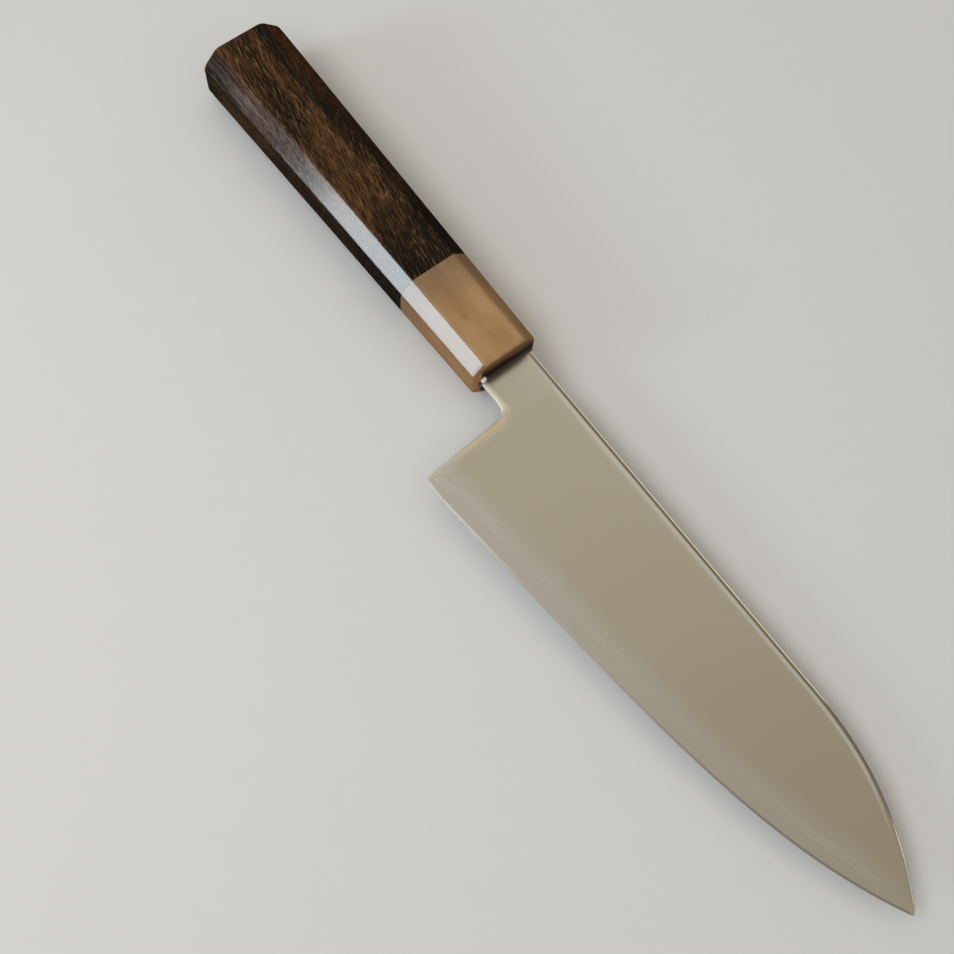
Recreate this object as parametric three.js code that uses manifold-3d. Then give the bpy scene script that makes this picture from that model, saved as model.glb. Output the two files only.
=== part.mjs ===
// A santoku kitchen knife with a laminated steel blade and an octagonal wooden handle.
// The knife lies on its side, on the lower flat of its handle. The pieces are drawn in knife axes:
// +X from the ferrule's front face to the tip, +Y to the spine, +Z out of the blade's right side,
// with the origin on the handle's axis. All sizes are millimetres.

import * as THREE from "three";
import { mergeVertices } from "three/addons/utils/BufferGeometryUtils.js";
import Module from "manifold-3d";

const wasm = await Module();
wasm.setup();

// Blade, seen from the side
const BLADE_LENGTH = 165;        // heel corner to tip
const NECK_LENGTH = 13.7;        // ferrule to heel corner
const NECK_BELOW_AXIS = 8.6;
const HEEL_BELOW_AXIS = 39.2;
const HEEL_LEAN = 2.15;          // how far the heel corner stands ahead of the neck's end
const CHOIL_RADIUS = 3.7;        // between the neck and the heel
const SPINE_ABOVE_AXIS = 9.2;
const SPINE_FALL = 0.86;         // fall of the straight spine, from the ferrule to the nose
const NOSE_LENGTH = 61;          // where the spine curves down to the tip
const NOSE_POWER = 2.4;
const TIP_BELOW_AXIS = 11;
const TIP_HEIGHT = 1.1;          // height of the nose before it rounds over to the tip
const TIP_ROUND = 1.3;           // length of that rounded end
const TIP_FLAT = 0.2;            // share of the height that is left at the very tip
const EDGE_RISE = 13.8;          // even rise of the edge, from the heel to the tip
const BELLY_POWER = 5.1;         // how late the edge sweeps up to the tip
const HEEL_LIFT = 0.75;          // how far the edge is eased up at the heel
const HEEL_LIFT_LENGTH = 11;

// Blade, seen in section
const SPINE_THICKNESS = 2;
const NOSE_THICKNESS = 1.8;      // spine where the nose starts
const TIP_THICKNESS = 0.7;       // spine where the tip rounds over
const SHOULDER_THICKNESS = 0.24; // behind the cutting bevel
const BEVEL_WIDTH = 0.7;         // cutting bevel
const GRIND_CONVEXITY = 1.5;     // 1 is a flat grind, more is a rounder one
const SPINE_CROWN = 2.4;         // height of the rounded top of the spine
const CORE_THICKNESS = 0.46;
const LAMINATE_THICKNESS = 0.05;

// Tang
const TANG_LENGTH = 86;
const TANG_HEIGHT = 7.6;         // at the shoulder
const TANG_END_HEIGHT = 4.6;

// Handle
const HANDLE_LENGTH = 131.6;     // ferrule and wood
const FERRULE_LENGTH = 33.6;
const FRONT_HEIGHT = 21.8;
const FRONT_THICKNESS = 17;
const FRONT_BEVEL = 4.2;
const BUTT_HEIGHT = 27.3;
const BUTT_THICKNESS = 20.7;
const BUTT_BEVEL = 5.3;
const FRONT_ROUND = 1.2;         // rounded front edge of the ferrule
const BUTT_ROUND = 2.2;          // rounded edge of the butt
const TENON_DIAMETER = 12.6;     // round spigot of the wood inside the ferrule
const TENON_LENGTH = 22;
const TENON_GAP = 0.15;          // between the tenon and its bore

// Tang bedding and the seal at the ferrule's mouth
const BEDDING_WALL = 0.5;
const BEDDING_GAP = 0.15;        // bedding to tang, and bedding to wood
const SEAL_WIDTH = 0.7;
const SEAL_HEIGHT = 0.5;         // how far the seal stands out of the ferrule's front face
const SEAL_BEVEL = 0.3;
const SEAL_GAP = 0.1;            // seal to neck

// Smoothness of curved faces
const NECK_STEPS = 1;
const HEEL_STEPS = 4;
const STRAIGHT_STEPS = 11;
const NOSE_STEPS = 24;
const TIP_STEPS = 6;
const GRIND_STEPS = 8;
const CROWN_STEPS = 5;
const ROUND_STEPS = 4;
const TENON_SIDES = 40;
const CHOIL_STEPS = 8;

const TIP_X = NECK_LENGTH + BLADE_LENGTH;
const NOSE_X = TIP_X - NOSE_LENGTH;
const TANG_ROOM = BEDDING_GAP + BEDDING_WALL + BEDDING_GAP;

// Solids and meshes

function toSolid(geometry) {
  geometry.deleteAttribute("normal");
  geometry.deleteAttribute("uv");
  const merged = mergeVertices(geometry);
  return new wasm.Manifold(new wasm.Mesh({
    numProp: 3,
    vertProperties: new Float32Array(merged.attributes.position.array),
    triVerts: new Uint32Array(merged.index.array),
  }));
}

function toMesh(name, solid, material) {
  const { vertProperties, triVerts } = solid.getMesh();
  const geometry = new THREE.BufferGeometry();
  geometry.setAttribute("position", new THREE.BufferAttribute(vertProperties, 3));
  geometry.setIndex(new THREE.BufferAttribute(triVerts, 1));
  geometry.computeVertexNormals();
  const mesh = new THREE.Mesh(geometry, material);
  mesh.name = name;
  return mesh;
}

// A closed solid through a row of convex sections, from -X to +X. The sections have equal numbers
// of points, each going anticlockwise seen from +X.
function loft(sections) {
  const sides = sections[0].length;
  const last = (sections.length - 1) * sides;
  const index = [];
  for (let ring = 0; ring < last; ring += sides) {
    for (let side = 0; side < sides; side += 1) {
      const a = ring + side;
      const b = ring + (side + 1) % sides;
      index.push(a, b, a + sides, b, b + sides, a + sides);
    }
  }
  for (let side = 1; side < sides - 1; side += 1) {
    index.push(0, side + 1, side);
    index.push(last, last + side, last + side + 1);
  }
  const geometry = new THREE.BufferGeometry().setFromPoints(sections.flat());
  geometry.setIndex(index);
  return toSolid(geometry);
}

function box(from, to) {
  const size = new THREE.Vector3().subVectors(to, from);
  const middle = new THREE.Vector3().addVectors(from, to).multiplyScalar(0.5);
  return toSolid(new THREE.BoxGeometry(size.x, size.y, size.z).translate(middle.x, middle.y, middle.z));
}

function rodAlongX(diameter, fromX, toX) {
  const rod = new THREE.CylinderGeometry(diameter / 2, diameter / 2, toX - fromX, TENON_SIDES);
  return toSolid(rod.rotateZ(Math.PI / 2).translate((fromX + toX) / 2, 0, 0));
}

function evenSteps(from, to, count) {
  return Array.from({ length: count }, (_, step) => from + (to - from) * step / count);
}

// Eight-sided section across the handle's axis
function octagon(x, height, thickness, bevel, middleY = 0) {
  const y = height / 2;
  const z = thickness / 2;
  const corners = [
    [y, bevel - z], [y, z - bevel], [y - bevel, z], [bevel - y, z],
    [-y, z - bevel], [-y, bevel - z], [bevel - y, -z], [y - bevel, -z],
  ];
  return corners.map(([cornerY, cornerZ]) => new THREE.Vector3(x, middleY + cornerY, cornerZ));
}

// Blade

// 1 along the blade, falling on a quarter round at the tip
function tipRound(x) {
  const past = THREE.MathUtils.clamp((x - TIP_X) / TIP_ROUND + 1, 0, 1);
  return Math.max(TIP_FLAT, Math.sqrt(1 - past * past));
}

function edgeY(x) {
  const alongBlade = (x - NECK_LENGTH) / BLADE_LENGTH;
  const bellyRise = HEEL_BELOW_AXIS - TIP_BELOW_AXIS - EDGE_RISE;
  const belly = bellyRise * Math.max(0, alongBlade) ** BELLY_POWER;
  const nearHeel = THREE.MathUtils.clamp(1 - (x - NECK_LENGTH) / HEEL_LIFT_LENGTH, 0, 1);
  return EDGE_RISE * alongBlade + belly + HEEL_LIFT * nearHeel ** 2 - HEEL_BELOW_AXIS;
}

function spineY(x) {
  const alongNose = Math.max(0, (x - NOSE_X) / NOSE_LENGTH);
  const noseTop = SPINE_ABOVE_AXIS - SPINE_FALL;
  const straight = SPINE_ABOVE_AXIS - SPINE_FALL * Math.min(1, x / NOSE_X);
  const sharp = straight - (noseTop + TIP_BELOW_AXIS - TIP_HEIGHT) * alongNose ** NOSE_POWER;
  return THREE.MathUtils.lerp(edgeY(x), sharp, tipRound(x));
}

function spineThickness(x) {
  const alongSpine = THREE.MathUtils.clamp(x / NOSE_X, 0, 1);
  const alongNose = Math.max(0, (x - NOSE_X) / NOSE_LENGTH);
  const straight = THREE.MathUtils.lerp(SPINE_THICKNESS, NOSE_THICKNESS, alongSpine);
  return (straight - (NOSE_THICKNESS - TIP_THICKNESS) * alongNose) * tipRound(x);
}

// Wedge section of the ground blade at x: cutting bevel, convex face, rounded spine
function bladeSection(x) {
  const bottom = edgeY(x);
  const height = spineY(x) - bottom;
  const topHalf = spineThickness(x) / 2;
  const shoulderHalf = Math.min(SHOULDER_THICKNESS, spineThickness(x) / 2) / 2;
  const bevel = Math.min(BEVEL_WIDTH, height / 4);
  const crown = Math.min(SPINE_CROWN, height / 4);
  const face = height - bevel - crown;
  const right = [];
  for (let step = 0; step <= GRIND_STEPS; step += 1) {
    const up = step / GRIND_STEPS;
    const swell = 1 - (1 - up) ** GRIND_CONVEXITY;
    const half = THREE.MathUtils.lerp(shoulderHalf, topHalf, swell);
    right.push(new THREE.Vector3(x, bottom + bevel + face * up, half));
  }
  for (let step = 1; step < CROWN_STEPS; step += 1) {
    const angle = Math.PI / 2 * step / CROWN_STEPS;
    const up = height - crown * (1 - Math.sin(angle));
    right.push(new THREE.Vector3(x, bottom + up, topHalf * Math.cos(angle)));
  }
  const left = right.map((point) => new THREE.Vector3(x, point.y, -point.z));
  const edge = new THREE.Vector3(x, bottom, 0);
  const top = new THREE.Vector3(x, bottom + height, 0);
  return [edge, ...left, top, ...right.reverse()];
}

// Outline that trims the wedge to the tang, its shoulders, the neck, the choil and the heel.
// Ahead of the heel it lies outside the blade.
function trimOutline(margin) {
  const corner = new THREE.Vector2(NECK_LENGTH - HEEL_LEAN, -NECK_BELOW_AXIS);
  const heel = new THREE.Vector2(NECK_LENGTH, -HEEL_BELOW_AXIS);
  const down = heel.clone().sub(corner).normalize();
  const roundX = corner.x + CHOIL_RADIUS * (1 - down.x) / down.y;
  const pastHeel = heel.clone().addScaledVector(down, margin);
  const roundEnd = Math.atan2(down.x, -down.y);
  const shape = new THREE.Shape();
  shape.moveTo(-TANG_LENGTH, -TANG_END_HEIGHT / 2);
  shape.lineTo(0, -TANG_HEIGHT / 2);
  shape.lineTo(0, -NECK_BELOW_AXIS);
  shape.absarc(roundX, corner.y - CHOIL_RADIUS, CHOIL_RADIUS, Math.PI / 2, roundEnd, true);
  shape.lineTo(pastHeel.x, pastHeel.y);
  shape.lineTo(TIP_X + margin, pastHeel.y);
  shape.lineTo(TIP_X + margin, SPINE_ABOVE_AXIS + margin);
  shape.lineTo(0, SPINE_ABOVE_AXIS + margin);
  shape.lineTo(0, TANG_HEIGHT / 2);
  shape.lineTo(-TANG_LENGTH, TANG_END_HEIGHT / 2);
  return shape;
}

function blade() {
  const margin = SPINE_THICKNESS;
  const stations = [
    -TANG_LENGTH - margin,
    ...evenSteps(0, NECK_LENGTH, NECK_STEPS),
    ...evenSteps(NECK_LENGTH, NECK_LENGTH + HEEL_LIFT_LENGTH, HEEL_STEPS),
    ...evenSteps(NECK_LENGTH + HEEL_LIFT_LENGTH, NOSE_X, STRAIGHT_STEPS),
    ...evenSteps(NOSE_X, TIP_X - TIP_ROUND, NOSE_STEPS),
    ...evenSteps(TIP_X - TIP_ROUND, TIP_X, TIP_STEPS),
    TIP_X,
  ];
  const wedge = loft(stations.map(bladeSection));
  const trim = new THREE.ExtrudeGeometry(trimOutline(margin), {
    depth: 2 * SPINE_THICKNESS,
    curveSegments: CHOIL_STEPS,
    bevelEnabled: false,
  });
  return wedge.intersect(toSolid(trim.translate(0, 0, -SPINE_THICKNESS)));
}

// The part of the blade between two planes parallel to its middle
function bladeLayer(whole, fromZ, toZ) {
  const reach = HANDLE_LENGTH + TIP_X + HEEL_BELOW_AXIS;
  const slab = box(new THREE.Vector3(-reach, -reach, fromZ), new THREE.Vector3(reach, reach, toZ));
  return whole.intersect(slab);
}

// Handle

function handleSection(x, inset) {
  const towardsButt = -x / HANDLE_LENGTH;
  return octagon(
    x,
    THREE.MathUtils.lerp(FRONT_HEIGHT, BUTT_HEIGHT, towardsButt) - 2 * inset,
    THREE.MathUtils.lerp(FRONT_THICKNESS, BUTT_THICKNESS, towardsButt) - 2 * inset,
    THREE.MathUtils.lerp(FRONT_BEVEL, BUTT_BEVEL, towardsButt) - (2 - Math.SQRT2) * inset,
  );
}

// Sections of a quarter-round edge that ends at x = endX; outwards is 1 at the front and -1 at the butt
function roundedEnd(endX, radius, outwards) {
  const sections = [];
  for (let step = 0; step <= ROUND_STEPS; step += 1) {
    const angle = Math.PI / 2 * step / ROUND_STEPS;
    const back = radius * (1 - Math.sin(angle));
    sections.push(handleSection(endX - outwards * back, radius * (1 - Math.cos(angle))));
  }
  return outwards > 0 ? sections : sections.reverse();
}

// Tapered room around the tang, wider than it by room on every side
function tangRoom(room, fromX, toX) {
  const growth = (TANG_HEIGHT - TANG_END_HEIGHT) / TANG_LENGTH;
  const section = (x) => octagon(
    x,
    TANG_HEIGHT + growth * x + 2 * room,
    SPINE_THICKNESS + 2 * room,
    room / 2,
  );
  return loft([section(fromX), section(toX)]);
}

function tangSlot() {
  return tangRoom(TANG_ROOM, -TANG_LENGTH - TANG_ROOM, TANG_ROOM);
}

function handleBody() {
  const wood = loft([...roundedEnd(-HANDLE_LENGTH, BUTT_ROUND, -1), handleSection(-FERRULE_LENGTH, 0)]);
  const tenon = rodAlongX(TENON_DIAMETER, -FERRULE_LENGTH - TENON_LENGTH, -FERRULE_LENGTH + TENON_LENGTH);
  return wood.add(tenon).subtract(tangSlot());
}

function ferrule() {
  const horn = loft([handleSection(-FERRULE_LENGTH, 0), ...roundedEnd(0, FRONT_ROUND, 1)]);
  const bore = rodAlongX(
    TENON_DIAMETER + 2 * TENON_GAP,
    -FERRULE_LENGTH - TENON_LENGTH,
    -FERRULE_LENGTH + TENON_LENGTH + TENON_GAP,
  );
  return horn.subtract(bore).subtract(tangSlot());
}

function tangBedding() {
  const outside = tangRoom(BEDDING_GAP + BEDDING_WALL, -TANG_LENGTH - TANG_ROOM + BEDDING_GAP, -BEDDING_GAP);
  const inside = tangRoom(BEDDING_GAP, -TANG_LENGTH - BEDDING_GAP, BEDDING_GAP);
  return outside.subtract(inside);
}

function mouthSeal() {
  const neckMiddle = (SPINE_ABOVE_AXIS - NECK_BELOW_AXIS) / 2;
  const neckHeight = SPINE_ABOVE_AXIS + NECK_BELOW_AXIS;
  const ring = (x, grow, bevel) => octagon(
    x,
    neckHeight + 2 * grow,
    SPINE_THICKNESS + 2 * grow,
    bevel,
    neckMiddle,
  );
  const outer = SEAL_GAP + SEAL_WIDTH;
  const bead = loft([
    ring(0, outer, SEAL_BEVEL),
    ring(SEAL_HEIGHT - SEAL_BEVEL, outer, SEAL_BEVEL),
    ring(SEAL_HEIGHT, outer - SEAL_BEVEL, SEAL_BEVEL / 2),
  ]);
  const neckRoom = loft([
    ring(-SEAL_HEIGHT, SEAL_GAP, SEAL_GAP / 2),
    ring(2 * SEAL_HEIGHT, SEAL_GAP, SEAL_GAP / 2),
  ]);
  return bead.subtract(neckRoom);
}

// Finishes

function finish(color, roughness, metalness) {
  return new THREE.MeshStandardMaterial({ color, roughness, metalness });
}

const polishedSteel = finish(0xb9b2a4, 0.15, 1);
const coreSteel = finish(0xc4beb2, 0.18, 1);
const laminateSteel = finish(0xd6d2c8, 0.22, 1);
const horn = finish(0xa67d58, 0.3, 0);
const darkWood = finish(0x4a2f20, 0.42, 0);
const resin = finish(0x8c6a45, 0.35, 0);
const clearSealant = finish(0xd8cdb8, 0.2, 0);

// Assembly

const whole = blade();
const coreHalf = CORE_THICKNESS / 2;
const laminateHalf = coreHalf + LAMINATE_THICKNESS;

const bladeStack = new THREE.Group();
bladeStack.add(
  toMesh("blade_core", bladeLayer(whole, -coreHalf, coreHalf), coreSteel),
  toMesh("laminate_right", bladeLayer(whole, coreHalf, laminateHalf), laminateSteel),
  toMesh("laminate_left", bladeLayer(whole, -laminateHalf, -coreHalf), laminateSteel),
  toMesh("cladding_right", bladeLayer(whole, laminateHalf, SPINE_THICKNESS), polishedSteel),
  toMesh("cladding_left", bladeLayer(whole, -SPINE_THICKNESS, -laminateHalf), polishedSteel),
);

const handle = new THREE.Group();
handle.add(
  toMesh("handle_body", handleBody(), darkWood),
  toMesh("ferrule", ferrule(), horn),
  toMesh("tang_bedding", tangBedding(), resin),
  toMesh("mouth_seal", mouthSeal(), clearSealant),
);

// The handle is thicker at the butt, so the knife leans forward until its lower flat is level.
// The origin is under the middle of the knife's box, on the surface that it lies on.
const knife = new THREE.Group();
knife.add(bladeStack, handle);
knife.rotation.y = Math.atan((BUTT_THICKNESS - FRONT_THICKNESS) / 2 / HANDLE_LENGTH);
const reach = new THREE.Box3().setFromObject(knife, true);
const middle = reach.getCenter(new THREE.Vector3());
knife.position.set(-middle.x, -middle.y, -reach.min.z);

export default knife;
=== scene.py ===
"""Looks of a santoku kitchen knife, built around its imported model.

Shapes are drawn in knife axes, in millimetres: +X from the ferrule's front face to the tip, +Y to the
spine and +Z out of the blade's right side, with the origin on the handle's axis. One matrix then sets
each finished mesh in the frame, in metres.
"""

import math
from typing import NamedTuple

import bmesh
import bpy
from mathutils import Matrix, Vector


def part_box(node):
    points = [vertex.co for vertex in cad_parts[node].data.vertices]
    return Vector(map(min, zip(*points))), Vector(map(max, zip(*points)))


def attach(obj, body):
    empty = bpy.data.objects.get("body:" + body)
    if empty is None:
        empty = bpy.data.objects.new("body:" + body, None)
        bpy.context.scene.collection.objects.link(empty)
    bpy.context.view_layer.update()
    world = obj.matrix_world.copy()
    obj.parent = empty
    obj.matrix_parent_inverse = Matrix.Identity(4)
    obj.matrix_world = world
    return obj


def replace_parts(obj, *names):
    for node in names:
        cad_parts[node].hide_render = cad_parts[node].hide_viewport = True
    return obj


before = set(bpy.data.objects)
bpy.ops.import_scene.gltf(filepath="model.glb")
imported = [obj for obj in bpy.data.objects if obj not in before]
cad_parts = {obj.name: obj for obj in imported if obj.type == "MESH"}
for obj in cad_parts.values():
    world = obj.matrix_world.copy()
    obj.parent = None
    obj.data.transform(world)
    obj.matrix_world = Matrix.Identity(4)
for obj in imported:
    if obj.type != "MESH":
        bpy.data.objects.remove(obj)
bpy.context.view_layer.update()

MM = 0.001

# Blade, seen from the side
BLADE_LENGTH = 165.0
NECK_LENGTH = 13.7
NECK_BELOW_AXIS = 8.6
HEEL_BELOW_AXIS = 39.2
HEEL_LEAN = 2.15
CHOIL_RADIUS = 3.7
SPINE_ABOVE_AXIS = 9.2
SPINE_FALL = 0.86
NOSE_LENGTH = 61.0
NOSE_POWER = 2.4
TIP_BELOW_AXIS = 11.0
TIP_HEIGHT = 1.1
TIP_ROUND = 1.3           # length of the rounded end of the nose
EDGE_RISE = 13.8
BELLY_POWER = 5.1
HEEL_LIFT = 0.75
HEEL_LIFT_LENGTH = 11.0

# Blade, seen in section
SPINE_THICKNESS = 2.0
NOSE_THICKNESS = 1.8
TIP_THICKNESS = 0.7
SHOULDER_THICKNESS = 0.24
BEVEL_WIDTH = 0.7
GRIND_CONVEXITY = 1.5
SPINE_CROWN = 2.4
CORE_HALF = 0.23
LAMINATE_HALF = 0.28
NECK_EASE = 1.9           # width of the rounding along the neck
HEEL_EASE = 7.0           # width of the rounding at the top of the heel
LOW_STRIP = 2.2           # height of the strip above the edge that has closer rows
LOW_STRIP_SHARE = 0.4     # its largest share of the height, which counts near the tip
TIP_SHARE = 0.25          # the same for the cutting bevel, and for the rounded spine

# Tang and its slot
TANG_LENGTH = 86.0
TANG_HEIGHT = 7.6
TANG_END_HEIGHT = 4.6
TANG_ROOM = 0.8           # between the tang and the slot, all round
SLOT_BEVEL = 0.4
SLOT_EASE = 0.1

# Handle
HANDLE_LENGTH = 131.6
FERRULE_LENGTH = 33.6
FRONT_HEIGHT = 21.8
FRONT_THICKNESS = 17.0
FRONT_BEVEL = 4.2
BUTT_HEIGHT = 27.3
BUTT_THICKNESS = 20.7
BUTT_BEVEL = 5.3
FRONT_ROUND = 1.2
BUTT_ROUND = 2.2
CORNER_EASE = 0.45        # how far each long edge of the handle is eased back
BUTT_EASE = 2.3           # the same at the butt's end face
EASE_REACH = 2.0          # length of the eased corners at an end, in radii of its rounded edge
TENON_DIAMETER = 12.6
TENON_LENGTH = 22.0
TENON_GAP = 0.15

# Seal at the ferrule's mouth
SEAL_GAP = 0.1
SEAL_WIDTH = 0.7
SEAL_HEIGHT = 0.5
DROP_AT = Vector((0.5, -8.0, 2.6))      # middle of a drop of the sealant, low on the right side, which carries a painted glint
DROP_HALVES = Vector((0.8, 1.1, 0.7))
DROP_TILT = math.radians(44)            # how far the drop's broad side leans down to the edge

# Fineness of the meshes
NECK_COLUMNS = 5
CHOIL_COLUMNS = 10
HEEL_COLUMNS = 10
HEEL_CORNER = 0.8         # from the heel's corner to the next column along the edge
HEEL_FAN = 30.0           # how far the columns of the choil and the heel spread along the spine
STRAIGHT_COLUMNS = 40
NOSE_COLUMNS = 56
NOSE_CROWDING = 1.7       # how much closer the columns stand towards the tip
BEVEL_ROWS = 2
EASE_ROWS = 7
FACE_ROWS = 30
CROWN_ROWS = 12
ROUND_STEPS = 7
CORNER_POINTS = 5
DROP_STEPS = 24
SUPPORT_REACH = 2.0       # from a corner to its supporting points, in eases
SUPPORT_LIMIT = 0.48      # their furthest place, as a share of a flat
END_INSET = 1.5           # rim of the flat on the handle's butt
SHARP_ANGLE = math.radians(28)
MERGE_DISTANCE = 1e-4

TIP_X = NECK_LENGTH + BLADE_LENGTH
NOSE_X = TIP_X - NOSE_LENGTH
LAST_ROW = EASE_ROWS + FACE_ROWS + CROWN_ROWS
LEAN = math.atan((BUTT_THICKNESS - FRONT_THICKNESS) / 2 / HANDLE_LENGTH)


def seat_of_knife():
    """Matrix that sets the knife's axes in the frame, found from where the ferrule is."""
    low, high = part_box("ferrule")
    front_lip = (FRONT_THICKNESS / 2 - FRONT_ROUND) * MM
    origin = Vector((
        high.x - front_lip * math.sin(LEAN),
        (low.y + high.y) / 2,
        low.z + FRONT_THICKNESS / 2 * MM * math.cos(LEAN),
    ))
    return Matrix.Translation(origin) @ Matrix.Rotation(LEAN, 4, "Y")


SEAT = seat_of_knife()
PLACE = SEAT @ Matrix.Scale(MM, 4)


def clamp(value):
    return max(0.0, min(1.0, value))


def between(start, end, share):
    return start + (end - start) * share


# Finishing of meshes


def whole(bm):
    return [*bm.verts, *bm.edges, *bm.faces]


def open_edges(bm):
    return [edge for edge in bm.edges if edge.is_boundary]


def add_piece(name, bm, material):
    """Sets a finished mesh in the frame as the piece that stands for one CAD node."""
    bmesh.ops.remove_doubles(bm, verts=bm.verts, dist=MERGE_DISTANCE)
    bmesh.ops.recalc_face_normals(bm, faces=bm.faces)
    for face in bm.faces:
        face.smooth = True
    for edge in bm.edges:
        if edge.calc_face_angle(0.0) > SHARP_ANGLE:
            edge.smooth = False
    bm.transform(PLACE)
    mesh = bpy.data.meshes.new(name)
    bm.to_mesh(mesh)
    bm.free()
    piece = bpy.data.objects.new(name, mesh)
    bpy.context.scene.collection.objects.link(piece)
    mesh.materials.append(material)
    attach(piece, "root")
    return piece


# Blade


def tip_round(x):
    """1 along the blade, falling to 0 on a quarter round at the tip."""
    past = clamp((x - TIP_X) / TIP_ROUND + 1)
    return math.sqrt(1 - past * past)


def edge_y(x):
    along_blade = (x - NECK_LENGTH) / BLADE_LENGTH
    belly_rise = HEEL_BELOW_AXIS - TIP_BELOW_AXIS - EDGE_RISE
    belly = belly_rise * max(0.0, along_blade) ** BELLY_POWER
    near_heel = clamp(1 - (x - NECK_LENGTH) / HEEL_LIFT_LENGTH)
    return EDGE_RISE * along_blade + belly + HEEL_LIFT * near_heel ** 2 - HEEL_BELOW_AXIS


def spine_y(x):
    along_nose = max(0.0, (x - NOSE_X) / NOSE_LENGTH)
    straight = SPINE_ABOVE_AXIS - SPINE_FALL * min(1.0, x / NOSE_X)
    nose_fall = SPINE_ABOVE_AXIS - SPINE_FALL + TIP_BELOW_AXIS - TIP_HEIGHT
    top = straight - nose_fall * along_nose ** NOSE_POWER
    return between(edge_y(x), top, tip_round(x))


def blade_height(x):
    return spine_y(x) - edge_y(x)


def spine_half(x):
    """Half the thickness at the spine."""
    along_nose = max(0.0, (x - NOSE_X) / NOSE_LENGTH)
    straight = between(SPINE_THICKNESS, NOSE_THICKNESS, clamp(x / NOSE_X))
    thickness = straight - (NOSE_THICKNESS - TIP_THICKNESS) * along_nose
    return thickness / 2 * tip_round(x)


def bevel_height(x):
    return min(BEVEL_WIDTH, TIP_SHARE * blade_height(x))


def crown_height(x):
    return min(SPINE_CROWN, TIP_SHARE * blade_height(x))


def ground_half(x, y):
    """Half the blade's thickness at a point of its side, below the rounded spine."""
    above_edge = y - edge_y(x)
    bevel = bevel_height(x)
    top = spine_half(x)
    shoulder = min(SHOULDER_THICKNESS, top) / 2
    if above_edge < bevel:
        return shoulder * above_edge / bevel
    face = blade_height(x) - bevel - crown_height(x)
    up = clamp((above_edge - bevel) / face)
    return between(shoulder, top, 1 - (1 - up) ** GRIND_CONVEXITY)


class Column(NamedTuple):
    """A line of the blade's mesh, from its lower outline to the spine."""

    foot: Vector      # on the outline
    inward: Vector    # into the blade from a rounded outline, or None on the cutting edge
    ease: float       # width of the rounded outline
    spine_x: float


def blade_columns():
    """Columns along the neck, round the choil, down the heel and along the edge to the tip."""
    corner = Vector((NECK_LENGTH - HEEL_LEAN, -NECK_BELOW_AXIS))
    down = (Vector((NECK_LENGTH, -HEEL_BELOW_AXIS)) - corner).normalized()
    heel = corner + down * ((edge_y(NECK_LENGTH) - corner.y) / down.y)
    choil = Vector((corner.x + CHOIL_RADIUS * (1 - down.x) / down.y, corner.y - CHOIL_RADIUS))
    heel_turn = math.atan2(down.x, -down.y)
    heel_inward = Vector((math.cos(heel_turn), math.sin(heel_turn)))
    heel_top = choil + heel_inward * CHOIL_RADIUS
    first_edge_x = heel.x + HEEL_CORNER
    first_spine_x = choil.x + HEEL_FAN
    heel_ease = HEEL_EASE / ground_half(heel_top.x, heel_top.y)

    columns = []
    for step in range(NECK_COLUMNS):
        x = choil.x * step / NECK_COLUMNS
        columns.append(Column(Vector((x, corner.y)), Vector((0.0, 1.0)), NECK_EASE, x))
    fan = CHOIL_COLUMNS + HEEL_COLUMNS + 1
    for step in range(fan):
        spine_x = between(choil.x, first_spine_x, step / fan)
        if step < CHOIL_COLUMNS:
            share = step / CHOIL_COLUMNS
            turn = between(math.pi / 2, heel_turn, share)
            inward = Vector((math.cos(turn), math.sin(turn)))
            ease = between(NECK_EASE, HEEL_EASE, share)
            columns.append(Column(choil + inward * CHOIL_RADIUS, inward, ease, spine_x))
        elif step < fan - 1:
            foot = between(heel_top, heel, (step - CHOIL_COLUMNS) / HEEL_COLUMNS)
            ease = heel_ease * ground_half(foot.x, foot.y)
            columns.append(Column(foot, heel_inward, ease, spine_x))
        else:
            columns.append(Column(heel, None, heel_ease * SHOULDER_THICKNESS / 2, spine_x))
    for step in range(STRAIGHT_COLUMNS):
        share = step / STRAIGHT_COLUMNS
        x = between(first_edge_x, NOSE_X, share)
        spine_x = between(first_spine_x, NOSE_X, share)
        columns.append(Column(Vector((x, edge_y(x))), None, 0.0, spine_x))
    for step in range(NOSE_COLUMNS):
        x = TIP_X - NOSE_LENGTH * (1 - step / NOSE_COLUMNS) ** NOSE_CROWDING
        columns.append(Column(Vector((x, edge_y(x))), None, 0.0, x))
    return columns


def bevel_rise(x, row):
    """Height of a low row above the cutting edge."""
    bevel = bevel_height(x)
    if row <= BEVEL_ROWS:
        return bevel * row / BEVEL_ROWS
    strip = min(LOW_STRIP, LOW_STRIP_SHARE * blade_height(x))
    return between(bevel, strip, (row - BEVEL_ROWS) / (EASE_ROWS - BEVEL_ROWS))


def low_point(column, row):
    """Point of the rounded outline, or of the cutting bevel and the strip above it."""
    turn = math.pi / 2 * row / EASE_ROWS
    inset = column.ease * (1 - math.cos(turn))
    if column.inward:
        at = column.foot + column.inward * inset
    else:
        x = column.foot.x + inset
        at = Vector((x, edge_y(x) + bevel_rise(x, row)))
    rounding = math.sin(turn) if column.ease else 1.0
    return Vector((at.x, at.y, ground_half(at.x, at.y) * rounding))


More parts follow.
